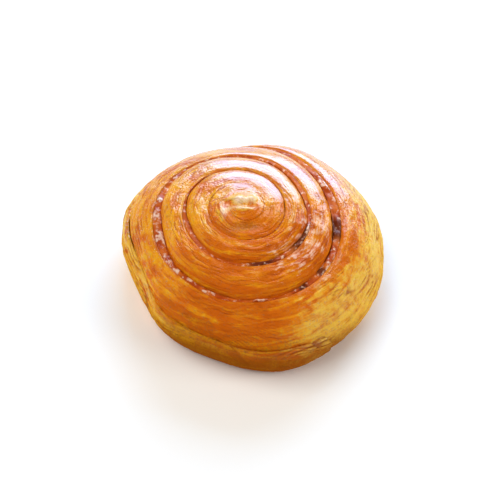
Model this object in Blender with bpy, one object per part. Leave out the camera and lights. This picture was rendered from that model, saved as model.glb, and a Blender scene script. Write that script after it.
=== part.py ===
"""A coiled vanilla danish, in metres, +Z up, standing on its flat base.

One strip of laminated dough is wound into a low dome, with a band of vanilla
filling between its turns. Turns are counted along the groove, anticlockwise and
outwards: turn 0 is where the outermost groove crosses the +X side, turn -1 is
the groove one wrap further in. The dough at a turn lies between the groove at
that turn and the groove one turn later, which lies outside it.
"""

import math

import bpy
import bmesh
import numpy as np

TAU = 2 * math.pi

# The dome: its plan at the widest level, and its outline from the side
MEAN_RADIUS = 0.0527
DOME_HEIGHT = 0.0398
WIDEST_LEVEL = 0.0130
DOME_POWER_ACROSS = 2.15
DOME_POWER_UP = 1.75
BASE_INSET = 0.096  # how much smaller the base is than the widest level
OUTLINE_LOBES = (  # waves round the plan: crests, height as a share of the radius, degrees of a crest
    (1, 0.032, -5),
    (2, 0.031, -55),
    (3, 0.019, 34),
    (4, 0.006, -25),
    (5, 0.008, 8),
    (6, 0.007, -11),
    (7, 0.009, 19),
)

# The coil: its groove's radius at turn 0, and how it shrinks inwards
COIL_CENTRE = np.array([-0.0032, 0.0005])
GROOVE_RADIUS = 0.0417
GROOVE_PITCH = 0.0138
GROOVE_TIGHTENING = 0.00097
COIL_LOBES = ((1, 0.051, 186), (2, 0.068, -60))
CORE_RADIUS = 0.0004
FIRST_TURN = -4.53  # the rolled edge of the sheet, in the crown
LAST_TURN = 0.84  # the free edge of the sheet, low on the front wall
CORE_STEP = 0.05  # turns over which the dough climbs over its own rolled edge

# The outer end of the strip, which thins to a skirt round the lower wall
SKIRT_THICKNESS = 0.0027
SKIRT_EDGE_THICKNESS = 0.0011
SKIRT_BEGINS = 0.42
SKIRT_PUFF = 0.0007
SKIRT_TRANSITION = 0.03

# The band between the turns
BAND_WIDTH = 0.0019
BAND_WAVE = 0.40
BAND_WAVE_CREST = 12
BAND_CORE_WIDTH = 0.0013
SLIT_WIDTH = 0.0004
CLEARANCE = 0.0003
FILLING_FIRST_TURN = -3.46
FILLING_LAST_TURN = 0.40
FILLING_RECESS = 0.0004
FILLING_CROWN = 0.0003
FILLING_BASE = 0.0006

# How far a turn of dough puffs up between its grooves, and its lips round over
RIDGE_PUFF = 0.0019
RIDGE_POWER = 2.3
CROWN_PUFF = 0.0026
RIDGE_REACH = 0.0065  # from the lip to the crest, on the outermost turn
LIP_DROP = 0.0010
LIP_ROUNDING = 0.0013
WALL_RIPPLE = 0.0004
WALL_RIPPLE_PITCH = 0.0052

# Fineness of the solids
STATIONS_PER_TURN = 32
TOP_POINTS = 14
WALL_POINTS = 6
FINE_STEPS = 160

DOUGH_COLOUR = (0.72, 0.30, 0.05, 1.0)
FILLING_COLOUR = (0.45, 0.11, 0.02, 1.0)


def smooth(share):
    """0 below 0, 1 above 1, and an even S between them."""
    share = np.clip(share, 0.0, 1.0)
    return share * share * (3.0 - 2.0 * share)


def soft_min(first, second, width):
    return 0.5 * (first + second - np.sqrt((first - second) ** 2 + width**2))


def lobes(table, angle):
    waves = [size * np.cos(n * (angle - math.radians(crest))) for n, size, crest in table]
    return 1.0 + sum(waves)


def compass(angle):
    return np.stack([np.cos(angle), np.sin(angle)], axis=-1)


def outline_radius(angle):
    return MEAN_RADIUS * lobes(OUTLINE_LOBES, angle)


def share_of_outline(plan):
    """How far out a plan point lies: 0 at the origin, 1 on the outline."""
    return np.linalg.norm(plan, axis=-1) / outline_radius(np.arctan2(plan[..., 1], plan[..., 0]))


def dome_level(plan):
    """Height of the dome above a plan point, before any ridge is added."""
    across = np.clip(share_of_outline(plan), 0.0, 1.0) ** DOME_POWER_ACROSS
    return WIDEST_LEVEL + (DOME_HEIGHT - WIDEST_LEVEL) * (1.0 - across) ** (1.0 / DOME_POWER_UP)


def draw_in(plan, level):
    """The plan point drawn in towards the narrower base."""
    below = np.clip(1.0 - level / WIDEST_LEVEL, 0.0, 1.0)
    return plan * (1.0 - BASE_INSET * below**2)[..., None]


def skirt_thickness(turn):
    share = (turn - SKIRT_BEGINS) / (LAST_TURN - SKIRT_BEGINS)
    return SKIRT_THICKNESS + (SKIRT_EDGE_THICKNESS - SKIRT_THICKNESS) * smooth(share)


def groove(turn):
    """Plan of the groove's outer side, which is the dough's inner edge at this turn."""
    angle = TAU * turn
    radius = GROOVE_RADIUS + GROOVE_PITCH * turn + GROOVE_TIGHTENING * turn**2
    radius = np.maximum(radius * lobes(COIL_LOBES, angle), CORE_RADIUS)
    plan = COIL_CENTRE + radius[..., None] * compass(angle)
    share = share_of_outline(plan)
    outline = np.linalg.norm(plan, axis=-1) / share
    kept = soft_min(share, 1.0 - skirt_thickness(turn) / outline, 0.02)
    return plan * (kept / share)[..., None]


def band_width(turn):
    """Width of the gap between two turns of dough, which the filling lies in."""
    wave = 1.0 + BAND_WAVE * np.cos(2 * (TAU * turn - math.radians(BAND_WAVE_CREST)))
    width = BAND_CORE_WIDTH + (BAND_WIDTH * wave - BAND_CORE_WIDTH) * smooth((turn + 3.2) / 1.6)
    return width + (SLIT_WIDTH - width) * smooth((turn - FILLING_LAST_TURN + 0.08) / 0.08)


def towards_coil(plan, distance):
    """The plan point moved towards the coil's centre."""
    inward = COIL_CENTRE - plan
    return plan + inward * (distance / np.linalg.norm(inward, axis=-1))[..., None]


def dough_edges(turn):
    """Plan of the dough's inner and outer edge at each turn."""
    first_wrap_ends = FIRST_TURN + 1.0
    opened = smooth((turn - first_wrap_ends + CORE_STEP) / CORE_STEP)
    core = COIL_CENTRE + CORE_RADIUS * compass(TAU * turn)
    inner = core + (groove(turn) - core) * opened[..., None]
    covered = towards_coil(groove(turn + 1.0), band_width(turn + 1.0))
    bare = outline_radius(TAU * turn)[..., None] * compass(TAU * turn)
    uncovering = smooth((turn + 1.0 - LAST_TURN) / SKIRT_TRANSITION + 1.0)
    return inner, covered + (bare - covered) * uncovering[..., None]


def even_shares(inner, outer, count):
    """Shares of the way from the inner to the outer edge, evenly spaced along the dome."""
    fine = 1.0 - (1.0 - np.linspace(0.0, 1.0, FINE_STEPS)) ** 2
    plan = inner + (outer - inner) * fine[:, None]
    path = np.column_stack([plan, dome_level(plan)])
    length = np.concatenate([[0.0], np.cumsum(np.linalg.norm(np.diff(path, axis=0), axis=1))])
    wanted = np.linspace(0.0, length[-1], count)
    return np.interp(wanted, length, fine), wanted


def normals_along(path, outward):
    """Upward normals of a path that lies in the upright plane along outward."""
    slope = np.gradient(path, axis=0)
    run = slope[:, :2] @ outward
    rise = slope[:, 2]
    size = np.hypot(run, rise)
    return np.column_stack([-rise[:, None] / size[:, None] * outward, run / size])


def ridge_puff(turn, distance, is_outer):
    """How far the dough stands above the dome, by the distance from its inner lip."""
    width = distance[-1]
    share = distance / width
    in_core = 1.0 - smooth((turn - FIRST_TURN - 0.85) / 0.3)
    share = share + (0.5 - 0.5 * share) * in_core
    between_grooves = 1.0 - np.abs(2.0 * share - 1.0) ** RIDGE_POWER
    puff = (RIDGE_PUFF + (CROWN_PUFF - RIDGE_PUFF) * in_core) * between_grooves
    rising = 1.0 - (1.0 - np.clip(distance / RIDGE_REACH, 0.0, 1.0)) ** RIDGE_POWER
    fading = 1.0 - smooth((distance - RIDGE_REACH) / (2.5 * RIDGE_REACH))
    outer_puff = RIDGE_PUFF * rising * fading
    skirt = smooth((turn - SKIRT_BEGINS + 0.1) / 0.2)
    outer_puff = outer_puff * (1.0 - skirt) + SKIRT_PUFF * skirt
    return puff + (outer_puff - puff) * is_outer


def lip_drop(turn, distance, is_outer):
    """How far the dough's lips fall into the grooves beside it."""
    narrow = smooth((turn - SKIRT_BEGINS + 0.1) / 0.2)
    in_core = 1.0 - smooth((turn - FIRST_TURN - 0.85) / 0.3)
    inner = np.exp(-distance / LIP_ROUNDING) * (1.0 - 0.8 * narrow) * (1.0 - in_core)
    outer = np.exp((distance - distance[-1]) / LIP_ROUNDING) * (1.0 - is_outer)
    return LIP_DROP * (inner + outer)


def wall_ripple(level, is_outer):
    """Shallow waves of the puffed layers on the outer wall."""
    waves = np.sin(TAU * level / WALL_RIPPLE_PITCH) * smooth(level / 0.004)
    return WALL_RIPPLE * waves * is_outer


def wall(plan, levels):
    """Points of a wall at some levels, drawn in towards the base."""
    return np.column_stack([draw_in(np.broadcast_to(plan, (len(levels), 2)), levels), levels])


def dough_section(turn, inner, outer, is_outer):
    """The closed outline of the dough across its strip: over the top, down the outer side, up the inner side."""
    along = outer - inner
    outward = along / np.linalg.norm(along)
    shares, distance = even_shares(inner, outer, TOP_POINTS)
    plan = inner + along * shares[:, None]
    top = np.column_stack([plan, dome_level(plan)])
    top += normals_along(top, outward) * ridge_puff(turn, distance, is_outer)[:, None]
    top[:, 2] -= lip_drop(turn, distance, is_outer)

    levels = np.linspace(WIDEST_LEVEL * (1.0 - is_outer / WALL_POINTS), 0.0, WALL_POINTS)
    outer_side = wall(top[-1, :2] + wall_ripple(levels, is_outer)[:, None] * outward, levels)
    inner_side = wall(top[0, :2], np.linspace(0.0, WIDEST_LEVEL, WALL_POINTS))
    return np.vstack([top, outer_side, inner_side])


def stations(first, last):
    """Evenly spaced turns, which stand at the same angles in every wrap."""
    steps = range(round(first * STATIONS_PER_TURN), round(last * STATIONS_PER_TURN) + 1)
    return np.array(steps) / STATIONS_PER_TURN


def sweep(name, sections, colour, roughness):
    """Joins a row of closed outlines into one solid, with a face over each end."""
    shape = bmesh.new()
    rings = [[shape.verts.new(point) for point in section] for section in sections]
    for ring, following in zip(rings, rings[1:]):
        for k in range(len(ring)):
            after = (k + 1) % len(ring)
            shape.faces.new((ring[k], following[k], following[after], ring[after]))
    shape.faces.new(rings[0])
    shape.faces.new(rings[-1][::-1])
    bmesh.ops.triangulate(shape, faces=shape.faces[:])
    if shape.calc_volume(signed=True) < 0.0:
        bmesh.ops.reverse_faces(shape, faces=shape.faces)
    mesh = bpy.data.meshes.new(name)
    shape.to_mesh(mesh)
    shape.free()
    mesh.shade_smooth()
    mesh.materials.append(food_material(name, colour, roughness))
    obj = bpy.data.objects.new(name, mesh)
    bpy.context.scene.collection.objects.link(obj)
    return obj


def food_material(name, colour, roughness):
    material = bpy.data.materials.new(name)
    material.use_nodes = True
    surface = material.node_tree.nodes["Principled BSDF"]
    surface.inputs["Base Color"].default_value = colour
    surface.inputs["Roughness"].default_value = roughness
    return material


def make_dough():
    turns = stations(FIRST_TURN, LAST_TURN)
    inner, outer = dough_edges(turns)
    is_outer = smooth((turns + 1.0 - LAST_TURN) / SKIRT_TRANSITION + 1.0)
    sections = [dough_section(*row) for row in zip(turns, inner, outer, is_outer)]
    return sweep("dough_coil", sections, DOUGH_COLOUR, 0.3)


def make_filling():
    turns = stations(FILLING_FIRST_TURN, FILLING_LAST_TURN)
    sections = []
    for turn in turns:
        edge = groove(turn)
        outer = towards_coil(edge, CLEARANCE)
        inner = towards_coil(edge, band_width(turn) - CLEARANCE)
        top = dome_level(edge) - LIP_DROP - FILLING_RECESS
        levels = np.linspace(0.0, WIDEST_LEVEL, WALL_POINTS)
        levels[0] = FILLING_BASE
        levels = np.append(levels, top)
        crown = np.array([*(inner + outer) / 2, top + FILLING_CROWN])
        sections.append(np.vstack([wall(inner, levels), crown, wall(outer, levels)[::-1]]))
    return sweep("vanilla_filling", sections, FILLING_COLOUR, 0.2)


def centre_on_base(objects):
    """Moves the model so that its box stands centred on the origin."""
    points = np.array([vertex.co for obj in objects for vertex in obj.data.vertices])
    low, high = points.min(axis=0), points.max(axis=0)
    shift = (-(low[0] + high[0]) / 2, -(low[1] + high[1]) / 2, -low[2])
    for obj in objects:
        for vertex in obj.data.vertices:
            vertex.co.x += shift[0]
            vertex.co.y += shift[1]
            vertex.co.z += shift[2]


for leftover in list(bpy.data.objects):
    bpy.data.objects.remove(leftover)
centre_on_base([make_dough(), make_filling()])
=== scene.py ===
"""Vanilla danish: the looks of a coiled pastry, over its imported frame.

A strip of laminated dough is wound into a low dome, with a band of vanilla
filling between its turns, and the top is brushed with a clear sugar glaze.
Turns are counted along the groove, anticlockwise and outwards: turn 0 is where
the outermost groove crosses the +X side, turn -1 is one wrap further in. The
dough at a turn lies between the groove there and the groove one turn later.
"""

import itertools
import math

import bpy
import numpy as np
from bpy.props import FloatProperty, FloatVectorProperty, IntProperty, PointerProperty
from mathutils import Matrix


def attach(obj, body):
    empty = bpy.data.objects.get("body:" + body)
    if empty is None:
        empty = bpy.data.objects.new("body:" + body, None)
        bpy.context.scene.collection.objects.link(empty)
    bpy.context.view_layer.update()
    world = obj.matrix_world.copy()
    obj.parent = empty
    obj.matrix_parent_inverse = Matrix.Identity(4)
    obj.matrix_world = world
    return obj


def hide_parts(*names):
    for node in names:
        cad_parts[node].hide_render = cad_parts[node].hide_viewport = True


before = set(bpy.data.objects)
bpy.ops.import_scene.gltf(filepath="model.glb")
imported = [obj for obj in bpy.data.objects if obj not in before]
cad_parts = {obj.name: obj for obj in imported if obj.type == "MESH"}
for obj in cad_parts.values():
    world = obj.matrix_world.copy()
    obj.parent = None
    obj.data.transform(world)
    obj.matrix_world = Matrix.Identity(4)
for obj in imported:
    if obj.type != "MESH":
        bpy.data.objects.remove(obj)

bl_info = {
    "name": "Vanilla Danish",
    "version": (1, 0, 0),
    "blender": (4, 5, 0),
    "location": "3D View > Sidebar > Danish",
    "description": "Models a glazed, coiled vanilla danish over its construction frame",
    "category": "Object",
}

TAU = 2 * math.pi
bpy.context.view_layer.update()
MM = 0.001

# The plan's waves: crests round the plan, height as a share of the radius, degrees of a crest
OUTLINE_LOBES = (
    (1, 0.032, -5),
    (2, 0.031, -55),
    (3, 0.019, 34),
    (4, 0.006, -25),
    (5, 0.008, 8),
    (6, 0.007, -11),
    (7, 0.009, 19),
)
COIL_LOBES = ((1, 0.051, 186), (2, 0.068, -60))
COIL_CENTRE = np.array([-3.2, 0.5]) * MM

# The ends of the strip and of its filling, where the free end starts to thin, and the parts of a turn in
# which the outer wall comes out from under it and the core opens into the groove
FIRST_TURN = -4.53
LAST_TURN = 0.84
FIRST_FILLED = -3.47
LAST_FILLED = 0.40
SKIRT_BEGINS = 0.42
UNCOVERED_OVER = 0.03
CORE_STEP = 0.05

# Where the filling has oozed out and widened its groove: the turn, half the length in turns, extra width
OOZES = (
    (0.00, 0.10, 1.1 * MM),
    (-0.12, 0.05, 0.9 * MM),
    (-0.50, 0.10, 0.8 * MM),
    (-1.12, 0.05, 2.4 * MM),
    (-1.22, 0.05, 2.0 * MM),
    (-1.43, 0.08, 1.9 * MM),
)

# Lumps and dents of the crown: place from the coil's centre, radius in X and in Y, height,
# and how pale the crust is there: a painted highlight on the lumps, and painted shade in the dent below 0
CROWN_LUMPS = (
    (0.3 * MM, 0.4 * MM, 7.0 * MM, 5.5 * MM, 0.5 * MM, 0.3),
    (-1.6 * MM, 1.7 * MM, 2.8 * MM, 2.4 * MM, 1.9 * MM, 1.6),
    (3.6 * MM, 2.2 * MM, 1.8 * MM, 1.6 * MM, 1.0 * MM, 1.2),
    (0.0 * MM, -2.6 * MM, 5.0 * MM, 1.1 * MM, 0.7 * MM, 0.8),
    (-7.7 * MM, -4.6 * MM, 2.3 * MM, 4.0 * MM, 1.3 * MM, 0.9),
    (1.0 * MM, -10.2 * MM, 7.5 * MM, 2.6 * MM, -1.1 * MM, -0.8),
)

# Where the filling dried pale and lumpy, partly painted glints, and where it burnt dark: the turn and half
# the length in turns
PALE_AND_GLINTING_FILLING = (
    (0.08, 0.025), (-0.085, 0.02), (-0.17, 0.010), (-0.225, 0.010), (-0.265, 0.010),
    (-0.31, 0.015), (-0.37, 0.03), (-0.45, 0.04), (-0.54, 0.04), (-0.60, 0.02),
    (-1.06, 0.015), (-1.15, 0.012), (-1.62, 0.03),
)
DARK_FILLING = ((-0.025, 0.03), (-0.115, 0.010), (-0.155, 0.010), (-1.09, 0.05), (-1.205, 0.04))

# Directions in the plan, from +X: where the glaze pooled, where the crust flaked, where the wall stayed
# pale, where it browned most and is painted darkest in shade, and the front
GLAZED_TOWARDS = math.radians(75)
FLAKED_TOWARDS = math.radians(-32)
PALE_TOWARDS = math.radians(-14)
BROWNED_AND_SHADED_TOWARDS = math.radians(-78)
FRONT = math.radians(-90)

# From the coil's centre: where the pooled glaze ends and over what way, and the flaked belt and its reach
GLAZE_REACH = 62 * MM
GLAZE_FADE = 20 * MM
FLAKED_RADIUS = 29 * MM
FLAKED_REACH = 9 * MM

# Steps of a section before it is evened out: over the top and down the side
TOP_STEPS = 260
SIDE_STEPS = 70

# Turns at which the strip's length is measured, to space its sections, and the least radii for that
FINE_TURNS = 6000
DOUGH_LEAST = 9 * MM
FILLING_LEAST = 6 * MM

# Points of the dough's section on its hidden inner side, and of the filling's on each of its sides
UNDER_POINTS = 14
SIDE_POINTS = 4

# How far the filling stands off the dough on each side
STAND_OFF = 0.1 * MM

# Lights round the camera's target: name, compass angle from +Y towards +X, height in degrees, distance and
# size in metres, power in watts, colour, and whether the glaze mirrors it
LIGHTS = (
    ("window", 13.0, 26.0, 0.75, (0.66, 0.50), 9.2, (0.47, 0.69, 1.0), True),
    ("overhead", -100.0, 54.0, 1.2, (1.2, 1.2), 12.2, (1.0, 0.96, 0.90), False),
    ("side", 108.0, 26.0, 0.9, (0.5, 0.5), 3.7, (1.0, 0.96, 0.90), False),
)


def length_mm(name, description, millimetres):
    return FloatProperty(name=name, description=description, default=millimetres * MM,
                         min=0.0, subtype="DISTANCE", unit="LENGTH")


def share(name, description, value):
    return FloatProperty(name=name, description=description, default=value,
                         min=0.0, max=1.0, subtype="FACTOR")


def number(name, description, value):
    return IntProperty(name=name, description=description, default=value, min=2 * UNDER_POINTS)


def hex_to_linear(code):
    """The linear colour of an sRGB hex code."""
    values = [int(code[k:k + 2], 16) / 255 for k in (1, 3, 5)]
    return tuple(v / 12.92 if v <= 0.04045 else ((v + 0.055) / 1.055) ** 2.4 for v in values)


def colour(name, description, code):
    return FloatVectorProperty(name=name, description=description, default=hex_to_linear(code),
                               size=3, min=0.0, max=1.0, subtype="COLOR")


class DanishShape(bpy.types.PropertyGroup):
    mean_radius: length_mm("Mean radius", "Half the width at the widest level", 52.7)
    dome_height: length_mm("Dome height", "Height of the dome, without its ridges", 39.8)
    widest_level: length_mm("Widest level", "Height at which the plan is widest", 13.0)
    base_inset: share("Base inset", "How much smaller the base is than the widest level", 0.096)
    groove_radius: length_mm("Groove radius", "Radius of the groove at turn 0", 41.7)
    groove_pitch: length_mm("Groove pitch", "How far the groove moves out in a turn, near turn 0", 13.8)
    groove_tightening: length_mm("Groove tightening", "How the pitch shrinks for each turn inwards", 0.97)
    core_radius: length_mm("Core radius", "Smallest radius of the coil", 0.12)
    band_width: length_mm("Band width", "Mean width of the gap between turns", 1.9)
    band_core_width: length_mm("Core band width", "Width of the gap near the crown", 0.05)
    filling_depth: length_mm("Filling depth", "How far the filling lies below the lips of its groove", 0.7)
    slit_width: length_mm("Slit width", "Gap behind the free edge, where there is no filling", 0.15)
    skirt_thickness: length_mm("Skirt thickness", "Thickness of the strip's outer end where it thins", 2.7)
    skirt_edge: length_mm("Skirt edge", "Thickness of the strip's free edge", 1.1)
    ridge_puff: length_mm("Ridge puff", "How far a turn puffs up between its grooves", 1.2)
    crest_place: share("Crest place", "Where a turn is highest, from its inner lip to its outer one", 0.68)
    knob_radius: length_mm("Knob radius", "Radius of the crown's middle, where the turns run together", 8.2)
    crown_relief: share("Crown relief", "How strongly the turns are set apart near the crown", 0.5)
    skirt_puff: length_mm("Skirt puff", "How far the strip's thin outer end bulges over the wall", 1.0)
    ridge_reach: length_mm("Ridge reach", "From the lip to the crest, on the outermost turn", 6.5)
    inner_lip_drop: length_mm("Inner lip drop", "How far a turn's inner lip falls into its groove", 0.7)
    outer_lip_drop: length_mm("Outer lip drop", "How far a turn's outer lip falls into its groove", 2.2)
    inner_lip_rounding: length_mm("Inner lip rounding", "How far the inner lip's fall reaches", 0.7)
    outer_lip_rounding: length_mm("Outer lip rounding", "How far the outer lip's fall reaches", 1.5)


class DanishRelief(bpy.types.PropertyGroup):
    layer_pitch: length_mm("Layer pitch", "Distance between the baked layers' edges", 1.7)
    layer_depth: length_mm("Layer depth", "Depth of the lines between the layers", 0.30)
    swell: length_mm("Swell", "Height of the broad unevenness of the dough", 0.45)
    crumple: length_mm("Crumple", "Height of the small unevenness of the dough", 0.26)
    crack_depth: length_mm("Crack depth", "Depth of the cracks along the wall", 0.55)
    knob_lump: length_mm("Knob lump", "Height of the lumps on the knob", 0.40)
    lump: length_mm("Lump", "Height of the lumps on the filling", 0.75)
    dough_stations: number("Dough stations", "Sections along the strip", 760)
    dough_points: number("Dough points", "Points round each section", 130)
    filling_stations: number("Filling stations", "Sections along the band", 900)
    filling_points: number("Filling points", "Points round each section", 40)


class DanishColours(bpy.types.PropertyGroup):
    golden: colour("Golden crust", "Baked dough on the crests", "#f29e15")
    # On the front and on steep faces this amber is partly painted shade
    amber: colour("Amber crust", "Dough that browned more, on steep faces", "#dc6c0b")
    # Over the crown's lumps this yellow is a painted highlight
    yellow: colour("Pale crust", "Dough that browned least, on the side wall", "#eebf44")
    cream: colour("Cream crust", "Flecks that are nearly unbaked", "#fbe3b4")
    mustard: colour("Mustard crust", "Dough with little glaze, in blotches and on the free edge", "#e8a80e")
    # Rust is also painted shade on the front and under the pooled glaze
    rust: colour("Rust lines", "Lines between the baked layers", "#b4500a")
    # On the front, in the crown's dent and along the free edge's seam this brown is partly painted shade
    brown: colour("Deep brown", "Flecks, and the foot of the wall", "#95500d")
    caramel: colour("Caramelised filling", "Filling that browned in the groove", "#b04716")
    syrup: colour("Filling syrup", "Filling where it lies thick", "#cf6a20")
    # Also a painted highlight on the crown's lumps, and painted glints on the flakes and the filling's
    # lumps
    sugar_and_highlight: colour("Dried sugar", "Filling, glaze and crown lumps that dried pale", "#f3d0b6")
    burnt: colour("Burnt filling", "Filling that burnt where it lies thin", "#4a2013")


class DanishStage(bpy.types.PropertyGroup):
    camera_elevation: FloatProperty(
        name="Camera elevation", description="Height of the view above the horizon",
        default=math.radians(51.03), subtype="ANGLE", unit="ROTATION")
    camera_distance: length_mm("Camera distance", "From the camera to its target", 500)
    lens: FloatProperty(name="Lens", description="Focal length in millimetres", default=89.14, min=1.0)
    target_level: length_mm("Target level", "Height of the camera's target", 12.4)
    target_side: FloatProperty(
        name="Target side", description="How far the target lies to +X of the coil's frame",
        default=-0.45 * MM, subtype="DISTANCE", unit="LENGTH")
    floor_size: length_mm("Floor size", "Width of the pale floor", 6000)
    floor_colour: colour("Floor", "Pale matt floor", "#fbfaf8")


def smooth(value):
    """0 below 0, 1 above 1, and an even S between them."""
    value = np.clip(value, 0.0, 1.0)
    return value * value * (3.0 - 2.0 * value)


def below(level, top, fade):
    """0 above the top, 1 from the fade's depth below it, and an even S between them."""
    return smooth((top - level) / fade)


def soft_min(first, second, width):
    """The lesser of two values, rounded where they cross."""
    return 0.5 * (first + second - np.sqrt((first - second) ** 2 + width**2))


class Noise:
    """Smooth, repeatable unevenness between -1 and 1, with features about one unit apart."""

    SIZE = 1024

    def __init__(self, seed):
        draw = np.random.default_rng(seed)
        self.order = draw.permutation(self.SIZE)
        self.level = draw.uniform(-1.0, 1.0, self.SIZE)

    def __call__(self, *coordinates):
        cells = [np.floor(c).astype(int) for c in coordinates]
        parts = [smooth(c - cell) for c, cell in zip(coordinates, cells)]
        total = 0.0
        for corner in itertools.product((0, 1), repeat=len(cells)):
            key, weight = 0, 1.0
            for cell, part, step in zip(cells, parts, corner):
                key = self.order[(key + cell + step) % self.SIZE]
                weight = weight * (part if step else 1.0 - part)
            total = total + self.level[key] * weight
        return total


def lobes(table, angle):
    """How much a plan's radius is stretched at an angle, from its table of waves."""
    waves = [size * np.cos(n * (angle - math.radians(crest))) for n, size, crest in table]
    return 1.0 + sum(waves)


def compass(angle):
    """The direction in the plan at an angle from +X."""
    return np.stack([np.cos(angle), np.sin(angle)], axis=-1)


class Coil:
    """The coil's plan and dome, from the sizes in the panel."""

    def __init__(self, shape):
        self.s = shape
        self.uneven = Noise(5)
        angle = np.linspace(0.0, TAU, 720)
        rim = self.outline(angle)[:, None] * compass(angle)
        self.middle = (rim.min(axis=0) + rim.max(axis=0)) / 2

    def outline(self, angle):
        """Radius of the plan at the widest level."""
        return self.s.mean_radius * lobes(OUTLINE_LOBES, angle)

    def share_of_outline(self, plan):
        """0 at the middle of the plan, 1 on its outline."""
        angle = np.arctan2(plan[..., 1], plan[..., 0])
        return np.linalg.norm(plan, axis=-1) / self.outline(angle)

    def dome(self, plan):
        """Height of the dome above a plan point."""
        across = np.clip(self.share_of_outline(plan), 0.0, 1.0) ** 2.15
        rise = self.s.dome_height - self.s.widest_level
        return self.s.widest_level + rise * (1.0 - across) ** (1.0 / 1.75)

    def draw_in(self, plan, level):
        """The plan point drawn in towards the middle, as the wall is below its widest level."""
        depth = np.clip(1.0 - level / self.s.widest_level, 0.0, 1.0)
        return plan * (1.0 - self.s.base_inset * depth**2)[..., None]

    def skirt(self, turn):
        """Thickness of the strip's free end, which thins towards its edge."""
        part = smooth((turn - SKIRT_BEGINS) / (LAST_TURN - SKIRT_BEGINS))
        return self.s.skirt_thickness + (self.s.skirt_edge - self.s.skirt_thickness) * part

    def groove(self, turn):
        """Plan of the dough's inner edge, which is the groove's outer side."""
        angle = TAU * turn
        radius = self.s.groove_radius + self.s.groove_pitch * turn + self.s.groove_tightening * turn**2
        radius = np.maximum(radius * lobes(COIL_LOBES, angle), self.s.core_radius)
        plan = COIL_CENTRE + radius[..., None] * compass(angle)
        out = self.share_of_outline(plan)
        rim = np.linalg.norm(plan, axis=-1) / out
        kept = soft_min(out, 1.0 - self.skirt(turn) / rim, 0.02)
        return plan * (kept / out)[..., None]

    def wave(self, turn):
        """Slow unevenness along the strip, the same for the dough and the filling."""
        return self.uneven(turn * 13.0)

    def softness(self, turn):
        """1 in the crown, where the turns only dip softly into each other, 0 further out."""
        return 1.0 - smooth((turn + 2.9) / 1.2)

    def strength(self, turn):
        """How strongly a turn is set apart from its neighbours."""
        crown = self.s.crown_relief
        return crown + (1.0 - crown) * smooth((turn + 3.0) / 1.5)

    def band(self, turn):
        """Width of the gap between two turns of dough."""
        wave = 1.0 + 0.40 * np.cos(2 * (TAU * turn - math.radians(12))) + 0.25 * self.wave(turn)
        for middle, reach, extra in OOZES:
            wave = wave + extra / self.s.band_width * np.exp(-((turn - middle) / reach) ** 2)
        core = self.s.band_core_width
        inner_turns = 0.55 + 0.45 * smooth((turn + 1.1) / 0.4)
        width = core + (self.s.band_width * wave * inner_turns - core) * smooth((turn + 2.15) / 0.9)
        return width + (self.s.slit_width - width) * smooth((turn - LAST_FILLED + 0.08) / 0.08)

    def bare(self, turn):
        """1 where the outer wall shows, 0 where another turn covers it."""
        return smooth((turn + 1.0 - LAST_TURN) / UNCOVERED_OVER + 1.0)

    def on_knob(self, plan):
        """1 in the middle of the crown, where the turns have run together, 0 outside it."""
        return np.exp(-((np.linalg.norm(plan - COIL_CENTRE, axis=-1) / self.s.knob_radius) ** 6))

    def glazed_back(self, plan):
        """1 on the back of the crown, where the glaze pooled and filled the relief, and painted shade
        darkens the crust under it, 0 elsewhere.
        """
        away = plan - COIL_CENTRE
        angle = np.arctan2(away[..., 1], away[..., 0])
        near = below(np.linalg.norm(away, axis=-1), GLAZE_REACH, GLAZE_FADE) * (1.0 - self.on_knob(plan))
        return near * smooth(1.1 * np.cos(angle - GLAZED_TOWARDS) - 0.1)

    def flaked(self, plan):
        """1 on the turns where the crust flaked and syrup dried on it, with painted glints on the flakes, 0
        elsewhere.
        """
        away = plan - COIL_CENTRE
        angle = np.arctan2(away[..., 1], away[..., 0])
        belt = np.exp(-(((np.linalg.norm(away, axis=-1) - FLAKED_RADIUS) / FLAKED_REACH) ** 4))
        return belt * smooth(2.0 * np.cos(angle - FLAKED_TOWARDS) - 1.0)

    def in_core(self, turn):
        """1 in the innermost turn, 0 from the next one on."""
        return 1.0 - smooth((turn - FIRST_TURN - 0.85) / 0.3)

    def inner_edge(self, turn):
        """The coil's core in the first turn, the groove from there on, and a short way between them."""
        opened = smooth((turn - FIRST_TURN - 1.0 + CORE_STEP) / CORE_STEP)
        core = COIL_CENTRE + self.s.core_radius * compass(TAU * turn)
        return core + (self.groove(turn) - core) * opened[..., None]

    def edges(self, turn):
        """Plan of the dough's inner and outer edges: the groove, and the next groove or the outline."""
        covered = towards_coil(self.inner_edge(turn + 1.0), self.band(turn + 1.0))
        rim = self.outline(TAU * turn)[..., None] * compass(TAU * turn)
        return self.inner_edge(turn), covered + (rim - covered) * self.bare(turn)[..., None]


def towards_coil(plan, distance):
    """A plan point moved by a distance towards the coil's centre."""
    inward = COIL_CENTRE - plan
    return plan + inward * (distance / np.linalg.norm(inward, axis=-1))[..., None]


def path_normals(path, outward):
    """Normals of a path in the upright plane along outward, up from a path that runs outwards."""
    slope = np.gradient(path, axis=0)
    run = slope[:, :2] @ outward
    rise = slope[:, 2]
    size = np.maximum(np.hypot(run, rise), 1e-9)
    return np.column_stack([-rise[:, None] / size[:, None] * outward, run / size])


def path_length(path):
    """How far each point lies along a path."""
    return np.concatenate([[0.0], np.cumsum(np.linalg.norm(np.diff(path, axis=0), axis=1))])


def resample(rows, position, count):
    """The rows of values at evenly spaced positions."""
    wanted = np.linspace(position[0], position[-1], count)
    return np.column_stack([np.interp(wanted, position, column) for column in rows.T])


def layers_passed(across, pitch):
    """How many layers a path across the strip has passed, with a pitch that changes on the way."""
    steps = np.diff(across, prepend=across[0]) / pitch
    return np.cumsum(steps)


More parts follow.
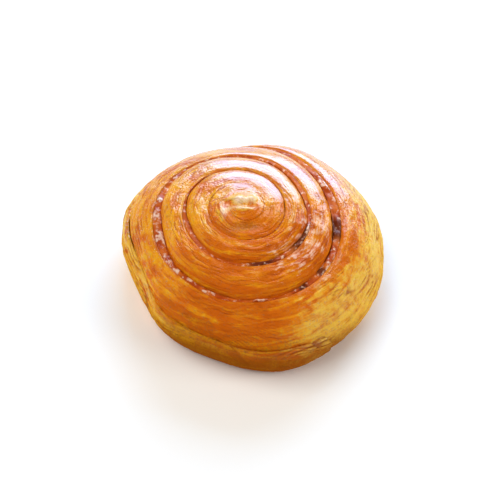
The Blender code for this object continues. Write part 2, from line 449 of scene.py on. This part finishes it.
class DoughRelief:
    """The dough's layers, swells and crumples, by the place along and across the strip."""

    def __init__(self, relief):
        self.r = relief
        self.noise = [Noise(seed) for seed in range(11, 23)]

    def patches(self, kind, along, across, long_mm, wide_mm):
        """Unevenness with features long_mm along the strip and wide_mm across it."""
        return self.noise[kind](along / (long_mm * MM), across / (wide_mm * MM))

    def layers(self, along, across, pitch):
        """Rounded layers with sharp valleys: their height from 0 to 1, and how strongly each shows."""
        warp = 2.0 * self.patches(0, along, across, 15, 8) + 0.9 * self.patches(1, along, across, 5, 4)
        phase = layers_passed(across, pitch) + warp
        layer = np.floor(phase)
        part = phase - layer
        hump = 1.0 - np.abs(2.0 * part - 1.0) ** 2.6
        shows = smooth(0.25 + 1.1 * self.noise[2](along / (7.5 * MM), layer * 0.83 + 0.4))
        return hump, shows

    def swell(self, along, across):
        """Broad and small unevenness, each between -1 and 1."""
        return self.patches(3, along, across, 16, 8), self.patches(4, along, across, 6.5, 3.6)

    def crumple(self, along, across):
        return self.patches(5, along, across, 2.9, 1.8)

    def cracks(self, along, across):
        """Wandering cracks that follow the strip and break off: 1 in the bottom of one, 0 away from it."""
        course = self.patches(7, along, across, 13, 4.2)
        broken = smooth(0.30 + 1.4 * self.patches(8, along, across, 9, 7))
        return np.exp(-((course / 0.055) ** 2)) * broken

    def spills(self, along):
        """How far the filling's syrup soaked into the inner lip and the outer one, from 0 to 1."""
        return [smooth(0.45 + 1.2 * self.noise[9](along / (8 * MM), side)) for side in (3.5, 9.5)]

    def knob(self, plan):
        """Lumps by the place in the plan, so that they run on over the seams of the innermost turns."""
        return self.patches(6, plan[:, 0], plan[:, 1], 3.4, 2.8)


def crown_lumps(plan):
    """The height and the paleness that the crown's lumps give each plan point: painted highlight, and
    painted shade below 0.
    """
    high, pale = 0.0, 0.0
    for x, y, wide, deep, height, paleness_and_light in CROWN_LUMPS:
        away = (plan - COIL_CENTRE - np.array([x, y])) / np.array([wide, deep])
        near = np.exp(-(away**2).sum(axis=1))
        high, pale = high + height * near, pale + paleness_and_light * near
    return high, pale


def dough_profile(coil, turn, inner, outer):
    """The dough's skin at a station, from its inner lip over the top and down to the base."""
    s = coil.s
    along = outer - inner
    outward = along / np.linalg.norm(along)
    bare = coil.bare(turn)
    in_core = coil.in_core(turn)
    narrow = smooth((turn - SKIRT_BEGINS + 0.1) / 0.2)

    parts = 1.0 - (1.0 - np.linspace(0.0, 1.0, TOP_STEPS)) ** 2
    plan = inner + along * parts[:, None]
    smooth_top = np.column_stack([plan, coil.dome(plan)])
    top = smooth_top.copy()
    distance = path_length(top)
    width = distance[-1]

    strength = coil.strength(turn)
    place = distance / width
    crest = s.ridge_puff * strength * (1.0 - in_core)
    leaning = place ** (math.log(0.5) / math.log(s.crest_place))
    puff = crest * (1.0 - np.abs(2.0 * leaning - 1.0) ** 2.6) * (1.0 - 0.7 * coil.glazed_back(plan))
    rising = 1.0 - (1.0 - np.clip(distance / s.ridge_reach, 0.0, 1.0)) ** 2.3
    fading = 1.0 - smooth((distance - s.ridge_reach) / (2.5 * s.ridge_reach))
    outer_puff = s.ridge_puff * rising * fading * (1.0 - narrow) + s.skirt_puff * rising * narrow
    top += path_normals(top, outward) * (puff + (outer_puff - puff) * bare)[:, None]

    soft = coil.softness(turn)
    inner_fall = np.exp(-distance / (s.inner_lip_rounding * (1.0 + 2.5 * soft)))
    inner_fall *= (1.0 - 0.8 * narrow) * (1.0 - in_core) * (1.0 - 0.5 * soft)
    outer_fall = np.exp((distance - width) / (s.outer_lip_rounding * (1.0 + soft)))
    outer_fall *= (1.0 - bare) * (1.0 - in_core)
    outer_fall *= 1.0 - 0.8 * smooth((turn + 1.0 - SKIRT_BEGINS - 0.10) / 0.15)
    top[:, 2] -= s.inner_lip_drop * inner_fall + s.outer_lip_drop * (1.0 - 0.7 * soft) * outer_fall
    apart = 1.0 - coil.on_knob(plan)[:, None]
    top = smooth_top + (top - smooth_top) * apart
    top[:, 2] += crown_lumps(plan)[0]

    highest = s.widest_level + (top[-1, 2] - s.widest_level) * (1.0 - bare)
    levels = np.linspace(highest, 0.0, SIDE_STEPS)[1:]
    foot = np.broadcast_to(top[-1, :2], (len(levels), 2))
    side = np.column_stack([coil.draw_in(foot, levels), levels])
    return np.vstack([top, side]), len(top), outward


def make_strip(name, points, stations):
    """A sheet rolled into a straight tube, its seam welded and its ends filled, ready to be wound."""
    bpy.ops.object.select_all(action="DESELECT")
    bpy.ops.mesh.primitive_grid_add(x_subdivisions=points, y_subdivisions=stations - 1, size=1.0)
    strip = bpy.context.object
    strip.name = strip.data.name = name
    x, y = places_of(strip)[:, :2].T
    angle = TAU * (x + 0.5)
    move_to(strip, np.column_stack([0.1 * np.cos(angle), 0.1 * np.sin(angle), y + 0.5]))
    bpy.ops.object.mode_set(mode="EDIT")
    bpy.ops.mesh.select_all(action="SELECT")
    bpy.ops.mesh.remove_doubles(threshold=1e-6)
    bpy.ops.mesh.select_all(action="SELECT")
    bpy.ops.mesh.fill_holes(sides=0)
    bpy.ops.object.mode_set(mode="OBJECT")
    return strip


def places_of(piece):
    flat = np.empty(len(piece.data.vertices) * 3)
    piece.data.vertices.foreach_get("co", flat)
    return flat.reshape(-1, 3)


def move_to(piece, places):
    piece.data.vertices.foreach_set("co", np.ascontiguousarray(places, dtype=np.float32).ravel())
    piece.data.update()


def ring_places(strip, points, stations):
    """Each vertex's station along the tube and its place round the ring."""
    x, y, z = places_of(strip).T
    station = np.rint(z * (stations - 1)).astype(int)
    around = np.arctan2(y, x) % TAU
    return station, np.rint(around / TAU * points).astype(int) % points


def wind(strip, places):
    """Moves the tube's points to their places in the coil, and points its faces outwards."""
    move_to(strip, places)
    bpy.ops.object.select_all(action="DESELECT")
    bpy.context.view_layer.objects.active = strip
    strip.select_set(True)
    bpy.ops.object.mode_set(mode="EDIT")
    bpy.ops.mesh.select_all(action="SELECT")
    bpy.ops.mesh.normals_make_consistent(inside=False)
    bpy.ops.object.mode_set(mode="OBJECT")
    if signed_volume(strip.data) < 0.0:
        strip.data.flip_normals()
    bpy.ops.object.shade_smooth()


def signed_volume(mesh):
    """The volume inside a closed mesh, below 0 where its faces point inwards."""
    mesh.calc_loop_triangles()
    corners = np.empty(len(mesh.loop_triangles) * 3, dtype=np.int32)
    mesh.loop_triangles.foreach_get("vertices", corners)
    flat = np.empty(len(mesh.vertices) * 3)
    mesh.vertices.foreach_get("co", flat)
    a, b, c = flat.reshape(-1, 3)[corners.reshape(-1, 3)].transpose(1, 0, 2)
    return float(np.einsum("ij,ij->i", a, np.cross(b, c)).sum() / 6)


def store(mesh, name, values):
    attribute = mesh.attributes.new(name, "FLOAT", "POINT")
    attribute.data.foreach_set("value", np.ascontiguousarray(values, dtype=np.float32))


def near_any(turns, patches):
    """1 in the middle of any patch of a table of turns and half lengths, 0 away from them."""
    return np.max([np.exp(-((turns - middle) / reach) ** 2) for middle, reach in patches], axis=0)


def spaced_turns(coil, first, last, count, least):
    """Turns spaced by the strip's own length, taking no turn as shorter than one at the least radius."""
    fine = np.linspace(first, last, FINE_TURNS)
    reach = np.linalg.norm(coil.groove(fine + 0.5) - COIL_CENTRE, axis=-1)
    passed = np.cumsum(np.maximum(reach, least))
    return np.interp(np.linspace(passed[0], passed[-1], count), passed, fine)


class DANISH_OT_dough(bpy.types.Operator):
    """Winds the laminated dough into its coil, with the baked layers on its skin"""

    bl_idname = "danish.dough"
    bl_label = "Dough"

    MARKS = ("layer", "steep", "pale", "gilt", "deep", "toast_and_shade", "glazed", "lip", "flaked",
             "along_mm", "across_mm")

    def bake(self, turn, path, broad, small):
        """How the crust baked at each point: how pale, golden, deeply coloured and toasted it is.

        Among them are a painted highlight on the crown's lumps and painted shade on the front and in the
        crown's dent.
        """
        angle = np.arctan2(path[:, 1], path[:, 0])
        level = path[:, 2]
        crown = crown_lumps(path[:, :2])[1]

        # Pale low on the wall and on the rolled edge of the free end, and a painted highlight on the
        # crown's lumps
        facing = smooth((np.cos(angle - PALE_TOWARDS) - 0.30) / 0.45)
        left = smooth(-1.3 * np.cos(angle - PALE_TOWARDS) - 0.2)
        low = below(level, (30 + 6 * facing) * MM, 12 * MM) * smooth((turn + 1.2) / 0.4)
        roll = smooth((turn - SKIRT_BEGINS) / 0.05) * smooth((level - 3 * MM) / (8 * MM))
        roll = roll * (1.0 - 0.8 * smooth((turn - 0.65) / 0.12))
        pale = low * (facing + 0.75 * left) + 0.25 * roll * (1.0 - low * left) + crown
        pale = np.clip(pale, 0.0, 2.0)

        # Deeper orange towards the browned side, partly painted shade, and golden where the wall is neither
        front = smooth(0.30 + 0.70 * np.cos(angle - BROWNED_AND_SHADED_TOWARDS) + 0.25 * broad)
        gilt = 0.9 * roll + 0.45 * low * (1.0 - 0.7 * front) + 0.4 * left * (1.0 - low)
        deep = front * np.clip(1.0 - 0.8 * pale, 0.0, 1.0)

        # Brown at the foot in front, partly browning and partly painted shade, and painted shade on the
        # front wall and in the dents of the crown
        in_front = smooth(1.5 * np.cos(angle - FRONT) - 0.5)
        faced = smooth(2.4 * np.cos(angle - FRONT) - 1.3)
        toast_and_shade = below(level, 20 * MM, 16 * MM) * (0.12 + 0.88 * in_front)
        toast_and_shade = toast_and_shade + 0.25 * smooth(small) + np.clip(-crown, 0.0, 1.0)
        toast_and_shade = toast_and_shade + 0.34 * faced * below(level, 34 * MM, 14 * MM)
        return pale, np.clip(gilt, 0.0, 1.0), deep, np.clip(toast_and_shade, 0.0, 1.0)

    def execute(self, context):
        scene = context.scene
        coil = Coil(scene.danish_shape)
        relief = DoughRelief(scene.danish_relief)
        stations, points = relief.r.dough_stations, relief.r.dough_points
        turns = spaced_turns(coil, FIRST_TURN - 0.9 * CORE_STEP, LAST_TURN, stations, DOUGH_LEAST)
        inner, outer = coil.edges(turns)
        middle = (inner + outer) / 2
        along = path_length(middle)

        rings = np.empty((stations, points, 3))
        marks = np.empty((stations, points, len(self.MARKS)))
        for k in range(stations):
            rings[k], marks[k] = self.ring(coil, relief, turns[k], inner[k], outer[k], along[k], points)

        strip = make_strip("danish_dough", points, stations)
        station, place = ring_places(strip, points, stations)
        places = rings[station, place]
        places[:, :2] -= coil.middle
        wind(strip, places)
        for name, column in zip(self.MARKS, marks.transpose(2, 0, 1)):
            store(strip.data, name, column[station, place])
        strip.data.materials.append(glazed_crust(scene.danish_colours))
        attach(strip, "root")
        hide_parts("dough_coil")
        return {"FINISHED"}

    def ring(self, coil, relief, turn, inner, outer, along, points):
        """One section of the dough: its points, and the marks that its material reads at them."""
        path, top_count, outward = dough_profile(coil, turn, inner, outer)
        length = path_length(path)
        shown = smooth((turn + 1.0 - LAST_TURN) / 0.12 + 1.0)
        pace = np.concatenate([[0.0], np.diff(length)])
        pace[top_count:] *= 0.12 + 0.88 * shown
        skin = resample(np.column_stack([path, length]), np.cumsum(pace), points - UNDER_POINTS)
        path, across = skin[:, :3], skin[:, 3]
        top_end = length[top_count - 1]
        normals = path_normals(path, outward)
        bare = coil.bare(turn)
        on_knob = coil.on_knob(path[:, :2])
        glazed = coil.glazed_back(path[:, :2])
        flaked = coil.flaked(path[:, :2])

        # Relief of the skin: layers, swells, crumples and cracks
        on_wall = below(path[:, 2], 24 * MM, 10 * MM) * bare
        hump, shows = relief.layers(along, across, relief.r.layer_pitch * (1.0 + on_wall))
        broad, small = relief.swell(along, across)
        crumple = relief.crumple(along, across)
        covered_side = smooth((across - top_end) / (0.8 * MM)) * (1.0 - bare)
        near_base = smooth(path[:, 2] / (1.5 * MM))
        crack = relief.cracks(along, across) * below(path[:, 2], 36 * MM, 10 * MM) * bare * near_base
        lift = relief.r.layer_depth * (1.0 + 1.3 * on_wall) * (hump - 1.0) * shows
        lift = lift + relief.r.swell * (1.0 + 0.3 * on_wall) * (broad + 0.45 * small)
        lift = lift + relief.r.crumple * (crumple + flaked * (crumple + small))
        lift = lift - relief.r.crack_depth * crack
        lift = lift * (1.0 - 0.85 * glazed) * (1.0 - on_knob)
        lift = lift * (1.0 - covered_side) * near_base * smooth(across / (0.8 * MM))
        lumps = relief.r.knob_lump * relief.knob(path[:, :2]) * on_knob * (1.0 - covered_side)
        path = path + normals * (lift + lumps)[:, None]

        # The hidden inner side, straight down from the inner lip
        levels = np.linspace(0.0, path[0, 2], UNDER_POINTS + 1)[:-1]
        foot = np.broadcast_to(path[0, :2], (UNDER_POINTS, 2))
        back = np.column_stack([coil.draw_in(foot, levels), levels])

        # Browning, with painted shade along the line of the free edge, darker cracks, and the lips that the
        # filling's syrup soaked
        steep = 1.0 - np.clip(normals[:, 2], 0.0, 1.0)
        pale, gilt, deep, toast_and_shade = self.bake(turn, path, broad, small)
        seam = smooth((turn - SKIRT_BEGINS) / 0.06) * np.exp(-across / (1.8 * MM))
        seam_below = np.exp(-np.abs(across - top_end) / (3 * MM))
        seam += smooth((turn + 1.0 - SKIRT_BEGINS) / 0.06) * seam_below
        toast_and_shade = np.clip(toast_and_shade + 0.25 * seam + 0.4 * crack, 0.0, 1.0)
        filled = smooth((turn - FIRST_FILLED - 1.0) / 0.5)
        filled *= 1.0 - smooth((turn - LAST_FILLED + 0.05) / 0.05)
        filled_outside = smooth((turn - FIRST_FILLED) / 0.5)
        filled_outside *= 1.0 - smooth((turn + 1.0 - LAST_FILLED) / 0.05)
        inner_spill, outer_spill = relief.spills(along)
        beyond = np.minimum(across - top_end, 0.0)
        lip = np.maximum(filled * inner_spill * np.exp(-((across / (1.5 * MM)) ** 2)),
                         filled_outside * outer_spill * np.exp(-((beyond / (2.4 * MM)) ** 2)))
        parted = np.maximum(shows * (1.0 - hump) * (1.0 - on_knob), crack)
        mark = np.column_stack([1.0 - parted, steep, pale, gilt, deep, toast_and_shade, glazed, lip, flaked,
                                np.full(len(path), along / MM), across / MM])
        hidden = np.repeat(mark[:1], UNDER_POINTS, axis=0)
        return np.vstack([path, back]), np.vstack([mark, hidden])


class DANISH_OT_filling(bpy.types.Operator):
    """Lays the sticky, lumpy vanilla filling between the turns"""

    bl_idname = "danish.filling"
    bl_label = "Filling"

    def execute(self, context):
        scene = context.scene
        coil = Coil(scene.danish_shape)
        relief = scene.danish_relief
        stations, points = relief.filling_stations, relief.filling_points
        turns = spaced_turns(coil, FIRST_FILLED, LAST_FILLED, stations, FILLING_LEAST)
        edge = coil.groove(turns)
        gap = coil.band(turns)
        along = path_length(edge)
        lump, bubble, drift = Noise(41), Noise(42), Noise(43)
        pale, dark = near_any(turns, PALE_AND_GLINTING_FILLING), near_any(turns, DARK_FILLING)

        top_points = points - 2 * SIDE_POINTS
        across = np.linspace(0.0, 1.0, top_points)
        rings = np.empty((stations, points, 3))
        dried = np.zeros((stations, points))
        for k in range(stations):
            outer = towards_coil(edge[k], STAND_OFF)
            inner = towards_coil(edge[k], gap[k] - STAND_OFF)
            level = coil.dome(edge[k]) - scene.danish_shape.filling_depth
            plan = inner + (outer - inner) * across[:, None]

            # Lumps 2.8 mm long with bubbles of 1.2 mm on them, and a slow drift of the level
            wide = across * gap[k]
            lumpy = 0.25 + 0.75 * max(pale[k], dark[k])
            rising = lump(along[k] / (2.8 * MM), wide / (2 * MM))
            bubbles = bubble(along[k] / (1.2 * MM), wide / MM)
            height = relief.lump * lumpy * (rising + 0.35 * bubbles)
            height = height + 0.3 * MM * drift(along[k] / (12 * MM)) + 0.7 * MM * pale[k]
            height = height * (1.0 - np.abs(2.0 * across - 1.0) ** 4)
            # Pale patches on the lumps: partly dried sugar, partly painted glints
            dried[k, :top_points] = pale[k] * smooth(0.45 + 1.5 * rising)

            levels = np.linspace(level * 0.8, 0.5 * MM, SIDE_POINTS)
            outer_side, inner_side = [
                np.column_stack([coil.draw_in(np.broadcast_to(side, (SIDE_POINTS, 2)), levels), levels])
                for side in (outer, inner)]
            rings[k] = np.vstack([np.column_stack([plan, level + height]), outer_side, inner_side[::-1]])

        strip = make_strip("danish_filling", points, stations)
        station, place = ring_places(strip, points, stations)
        places = rings[station, place]
        places[:, :2] -= coil.middle
        wind(strip, places)
        store(strip.data, "pale", dried[station, place])
        store(strip.data, "dark", dark[station])
        strip.data.materials.append(sticky_filling(scene.danish_colours))
        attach(strip, "root")
        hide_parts("vanilla_filling")
        return {"FINISHED"}


def add_node(tree, kind, inputs, output=0, **settings):
    """Adds a node, sets or links its inputs by name or number, and gives back one of its outputs."""
    node = tree.nodes.new(kind)
    for name, value in settings.items():
        setattr(node, name, value)
    for key, value in inputs.items():
        if isinstance(value, bpy.types.NodeSocket):
            tree.links.new(value, node.inputs[key])
        else:
            node.inputs[key].default_value = value
    return node.outputs[output]


def new_material(name):
    material = bpy.data.materials.new(name)
    material.use_nodes = True
    return material, material.node_tree.nodes["Principled BSDF"]


def stained(tree, base, stain, pattern, low, high, strength=1.0):
    """The base with a colour laid over it where a pattern rises from low to high."""
    cover = add_node(tree, "ShaderNodeMapRange",
                     {"Value": pattern, "From Min": low, "From Max": high, "To Max": strength})
    return add_node(tree, "ShaderNodeMix", {"Factor": cover, "A": base, "B": (*stain, 1.0)}, "Result",
                    data_type="RGBA")


def strip_grain(tree, along_mm, across_mm, long_mm, wide_mm):
    """Coordinates that follow the strip, one unit being long_mm along it and wide_mm across it."""
    steps = [add_node(tree, "ShaderNodeMath", {0: value, 1: size}, operation="DIVIDE")
             for value, size in ((along_mm, long_mm), (across_mm, wide_mm))]
    return add_node(tree, "ShaderNodeCombineXYZ", {"X": steps[0], "Y": steps[1]})


def glazed_crust(colours):
    """Laminated dough, baked golden and brushed with clear sugar glaze: wet gloss over a dull crust."""
    material, surface = new_material("Glazed laminated dough")
    tree = material.node_tree
    layer, steep, pale, gilt, deep, toast_and_shade, glazed, lip, flaked, along_mm, across_mm = [
        add_node(tree, "ShaderNodeAttribute", {}, "Fac", attribute_name=name)
        for name in DANISH_OT_dough.MARKS]
    golden, amber, yellow, cream = colours.golden, colours.amber, colours.yellow, colours.cream
    mustard, rust, brown, sugar_and_highlight = colours.mustard, colours.rust, colours.brown, colours.sugar_and_highlight

    # Noise scales are 1 over the size in metres: patches of 9 mm, blotches of 2.6 mm, grains of 0.8 mm
    place = add_node(tree, "ShaderNodeTexCoord", {}, "Object")
    patches = add_node(tree, "ShaderNodeTexNoise", {"Vector": place, "Scale": 110.0, "Detail": 2.0})
    blotches = add_node(tree, "ShaderNodeTexNoise", {"Vector": place, "Scale": 380.0, "Detail": 4.0})
    grains = add_node(tree, "ShaderNodeTexNoise", {"Vector": place, "Scale": 1250.0, "Detail": 2.0})
    # Dashes 3.2 mm long and bands 14 mm long follow the strip, as its layers do
    fine = strip_grain(tree, along_mm, across_mm, 3.2, 0.8)
    dashes = add_node(tree, "ShaderNodeTexNoise", {"Vector": fine, "Scale": 1.0, "Detail": 2.0})
    coarse = strip_grain(tree, along_mm, across_mm, 14.0, 2.2)
    bands = add_node(tree, "ShaderNodeTexNoise",
                     {"Vector": coarse, "Scale": 1.0, "Detail": 3.0, "Distortion": 0.5})
    mottled, flakes = [
        add_node(tree, "ShaderNodeMix", {"Factor": part, "A": blotches, "B": other}, data_type="FLOAT")
        for part, other in ((0.52, bands), (0.5, dashes))]

    # Each mark shifts a pattern, so that its stain comes in ragged patches
    paled, gilded, toasted_and_shaded, scorched, frost_and_glints, sticky = [
        add_node(tree, "ShaderNodeMath", {0: mark, 1: shift, 2: pattern}, operation="MULTIPLY_ADD")
        for mark, shift, pattern in (
            (pale, 0.34, mottled), (gilt, 0.24, mottled), (toast_and_shade, 0.20, grains),
            (flaked, -0.22, mottled), (flaked, 0.20, flakes), (blotches, 0.5, lip))]
    # Pale where the crown's lumps face up: a painted highlight
    crown_highlight = add_node(tree, "ShaderNodeMath", {0: steep, 1: -2.2, 2: paled}, operation="MULTIPLY_ADD")
    unbrowned_unshaded = add_node(tree, "ShaderNodeMapRange", {"Value": deep, "To Min": 0.65, "To Max": 0.35})
    flecked = add_node(tree, "ShaderNodeMapRange", {"Value": deep, "To Min": 0.34, "To Max": 0.06})

    # Stains in the order in which they lie over each other: colour, pattern, from, to, strength
    base = (*golden, 1.0)
    for stain in (
            (amber, patches, 0.40, 0.62, 1.0),
            # Amber and rust on the front: partly browning, partly painted shade of the side turned from the
            # lights
            (amber, deep, 0.0, 1.0, 0.8),
            # Amber on steep faces: partly browning, partly painted shade of faces turned from the lights
            (amber, steep, 0.35, 0.9, 0.8),
            (rust, deep, 0.3, 1.0, 0.4),
            # Rust under the pooled glaze: painted shade, so that the mirrored window shows pale over it
            (rust, glazed, 0.2, 1.0, 0.35),
            (golden, bands, 0.50, 0.62, unbrowned_unshaded),
            (rust, bands, 0.46, 0.32, 0.45),
            (mustard, gilded, 0.55, 0.74, 0.75),
            (amber, bands, 0.45, 0.30, 0.6),
            (rust, mottled, 0.48, 0.32, 0.4),
            # Yellow on the low wall and the roll, and a painted highlight over the crown's lumps
            (yellow, paled, 0.64, 0.86, 0.9),
            (rust, layer, 0.95, 0.25, 0.8),
            (rust, dashes, 0.44, 0.26, 0.45),
            # Sugar over the crown's lumps: a painted highlight
            (sugar_and_highlight, crown_highlight, 0.55, 1.0, 0.85),
            (colours.caramel, scorched, 0.32, 0.18, 0.6),
            # Sugar on the flakes: partly dried syrup, partly painted glints
            (sugar_and_highlight, frost_and_glints, 0.68, 0.84, 0.75),
            (cream, grains, 0.58, 0.70, flecked),
            (colours.syrup, sticky, 0.62, 1.05, 0.5),
            # Brown: browning at the foot and in patches, and painted shade on the front, in the crown's
            # dent and along the seam
            (brown, toasted_and_shaded, 0.62, 0.82, 0.6),
            (brown, toast_and_shade, 0.2, 1.0, 0.8)):
        base = stained(tree, base, *stain)
    tree.links.new(base, surface.inputs["Base Color"])

    # The crust under the glaze is dull, so its own sheen is left to the coat
    surface.inputs["Roughness"].default_value = 0.5
    surface.inputs["Specular IOR Level"].default_value = 0.0
    # The glaze ran off steep faces, is thin on the front, which is browned and painted in shade, and pooled
    # at the back of the crown
    glaze = add_node(tree, "ShaderNodeMapRange",
                     {"Value": steep, "From Min": 0.2, "From Max": 0.7, "To Min": 1.0, "To Max": 0.10})
    thinned = add_node(tree, "ShaderNodeMapRange", {"Value": deep, "To Min": 0.6, "To Max": 0.10})
    pooled = add_node(tree, "ShaderNodeMath", {0: glazed, 1: 0.6, 2: thinned}, operation="MULTIPLY_ADD")
    glaze = add_node(tree, "ShaderNodeMath", {0: glaze, 1: pooled}, operation="MULTIPLY", use_clamp=True)
    tree.links.new(glaze, surface.inputs["Coat Weight"])
    surface.inputs["Coat Roughness"].default_value = 0.15
    # Sugar glaze is near 1.5, raised until it mirrors the window as strongly as the real one
    surface.inputs["Coat IOR"].default_value = 1.8

    crust = surface.inputs["Normal"]
    for height, depth in ((grains, 0.2 * MM), (dashes, 0.5 * MM), (blotches, 0.7 * MM)):
        bump = add_node(tree, "ShaderNodeBump", {"Height": height, "Distance": depth, "Strength": 0.9})
        if crust.is_linked:
            tree.links.new(crust.links[0].from_socket, bump.node.inputs["Normal"])
        tree.links.new(bump, crust)
    # The pooled glaze dried level, and the rest dried thin and pebbly
    pebbly = add_node(tree, "ShaderNodeMapRange", {"Value": glazed, "To Min": 0.8, "To Max": 0.14})
    wet = {}
    for height, depth in ((blotches, 0.6 * MM), (dashes, 0.4 * MM), (grains, 0.3 * MM)):
        wet["Normal"] = add_node(tree, "ShaderNodeBump",
                                 {"Height": height, "Distance": depth, "Strength": pebbly, **wet})
    tree.links.new(wet["Normal"], surface.inputs["Coat Normal"])
    return material


def sticky_filling(colours):
    """Vanilla filling, baked until its sugar caramelised: a sticky, dark gloss with pale, dry lumps, partly
    painted glints.
    """
    material, surface = new_material("Caramelised vanilla filling")
    tree = material.node_tree
    pale, dark = [add_node(tree, "ShaderNodeAttribute", {}, "Fac", attribute_name=name)
                  for name in ("pale", "dark")]
    # Clouds 5 mm across and lumps of 1.7 mm
    place = add_node(tree, "ShaderNodeTexCoord", {}, "Object")
    clouds = add_node(tree, "ShaderNodeTexNoise", {"Vector": place, "Scale": 200.0, "Detail": 3.0})
    lumps = add_node(tree, "ShaderNodeTexNoise", {"Vector": place, "Scale": 600.0, "Detail": 2.0})
    dried = add_node(tree, "ShaderNodeMath", {0: pale, 1: 0.25, 2: lumps}, operation="MULTIPLY_ADD")
    base = stained(tree, (*colours.caramel, 1.0), colours.syrup, clouds, 0.4, 0.6)
    base = stained(tree, base, colours.burnt, dark, 0.3, 0.8, 0.8)
    # Pale dried lumps, partly painted glints
    base = stained(tree, base, colours.sugar_and_highlight, dried, 0.56, 0.74, 0.9)
    tree.links.new(base, surface.inputs["Base Color"])
    surface.inputs["Roughness"].default_value = 0.4
    surface.inputs["Specular IOR Level"].default_value = 0.1
    syrupy = add_node(tree, "ShaderNodeMapRange", {"Value": pale, "To Min": 0.04, "To Max": 0.9})
    tree.links.new(syrupy, surface.inputs["Coat Weight"])
    surface.inputs["Coat Roughness"].default_value = 0.15
    return material


def matt_paper(colour_value):
    """Seamless paper backdrop: matt, with no sheen that would show the lights."""
    material, surface = new_material("Matt backdrop paper")
    surface.inputs["Base Color"].default_value = (*colour_value, 1.0)
    surface.inputs["Roughness"].default_value = 0.9
    surface.inputs["Specular IOR Level"].default_value = 0.1
    return material


def area_light(target, name, azimuth, elevation, distance, size, power, tint, mirrored):
    """A soft rectangular light, from a row of the table of lights."""
    bpy.ops.object.select_all(action="DESELECT")
    azimuth, elevation = math.radians(azimuth), math.radians(elevation)
    away = np.array([math.sin(azimuth) * math.cos(elevation), math.cos(azimuth) * math.cos(elevation),
                     math.sin(elevation)])
    spot = np.array(target) + distance * away
    bpy.ops.object.light_add(type="AREA", location=tuple(spot),
                             rotation=(math.pi / 2 - elevation, 0.0, math.pi - azimuth))
    lamp = bpy.context.object
    lamp.name = lamp.data.name = name
    lamp.data.shape = "RECTANGLE"
    lamp.data.size, lamp.data.size_y = size
    lamp.data.energy = power
    lamp.data.color = tint
    lamp.visible_glossy = mirrored


class DANISH_OT_stage(bpy.types.Operator):
    """Adds the pale floor, the soft window and studio lights, and the camera"""

    bl_idname = "danish.stage"
    bl_label = "Stage"

    def execute(self, context):
        scene = context.scene
        stage = scene.danish_stage
        coil = Coil(scene.danish_shape)
        bpy.ops.object.select_all(action="DESELECT")
        bpy.ops.mesh.primitive_plane_add(size=stage.floor_size, location=(0.0, 0.0, 0.0))
        floor = bpy.context.object
        floor.name = floor.data.name = "floor"
        floor.data.materials.append(matt_paper(tuple(stage.floor_colour)))

        target = np.array([stage.target_side - coil.middle[0], -coil.middle[1], stage.target_level])
        tilt = stage.camera_elevation
        spot = target + stage.camera_distance * np.array([0.0, -math.cos(tilt), math.sin(tilt)])
        bpy.ops.object.camera_add(location=tuple(spot), rotation=(math.pi / 2 - tilt, 0.0, 0.0))
        camera = bpy.context.object
        camera.data.lens = stage.lens
        camera.data.sensor_width = 36.0
        scene.camera = camera

        for light in LIGHTS:
            area_light(target, *light)
        # The room is bright where the camera sees it, and dim where it lights the pastry
        world = bpy.data.worlds.new("soft room")
        world.use_nodes = True
        tree = world.node_tree
        room = tree.nodes["Background"]
        room.inputs["Color"].default_value = (1.0, 0.98, 0.95, 1.0)
        seen = add_node(tree, "ShaderNodeLightPath", {}, "Is Camera Ray")
        strength = add_node(tree, "ShaderNodeMapRange", {"Value": seen, "To Min": 0.2, "To Max": 1.0})
        tree.links.new(strength, room.inputs["Strength"])
        scene.world = world
        scene.view_settings.view_transform = "Standard"
        return {"FINISHED"}


class DANISH_PT_panel(bpy.types.Panel):
    """Lists the danish's sizes, colours and pieces"""

    bl_idname = "DANISH_PT_panel"
    bl_label = "Vanilla Danish"
    bl_space_type = "VIEW_3D"
    bl_region_type = "UI"
    bl_category = "Danish"

    def draw(self, context):
        layout = self.layout
        for operator in (DANISH_OT_dough, DANISH_OT_filling, DANISH_OT_stage):
            layout.operator(operator.bl_idname)
        for group in ("danish_shape", "danish_relief", "danish_colours", "danish_stage"):
            settings = getattr(context.scene, group)
            box = layout.box()
            for name in settings.bl_rna.properties.keys():
                if name not in ("rna_type", "name"):
                    box.prop(settings, name)


CLASSES = (DanishShape, DanishRelief, DanishColours, DanishStage,
           DANISH_OT_dough, DANISH_OT_filling, DANISH_OT_stage, DANISH_PT_panel)


def register():
    for cls in CLASSES:
        bpy.utils.register_class(cls)
    bpy.types.Scene.danish_shape = PointerProperty(type=DanishShape)
    bpy.types.Scene.danish_relief = PointerProperty(type=DanishRelief)
    bpy.types.Scene.danish_colours = PointerProperty(type=DanishColours)
    bpy.types.Scene.danish_stage = PointerProperty(type=DanishStage)


def unregister():
    for name in ("danish_shape", "danish_relief", "danish_colours", "danish_stage"):
        delattr(bpy.types.Scene, name)
    for cls in reversed(CLASSES):
        bpy.utils.unregister_class(cls)


def main():
    register()
    bpy.ops.danish.dough()
    bpy.ops.danish.filling()
    bpy.ops.danish.stage()


if __name__ == "__main__":
    main()
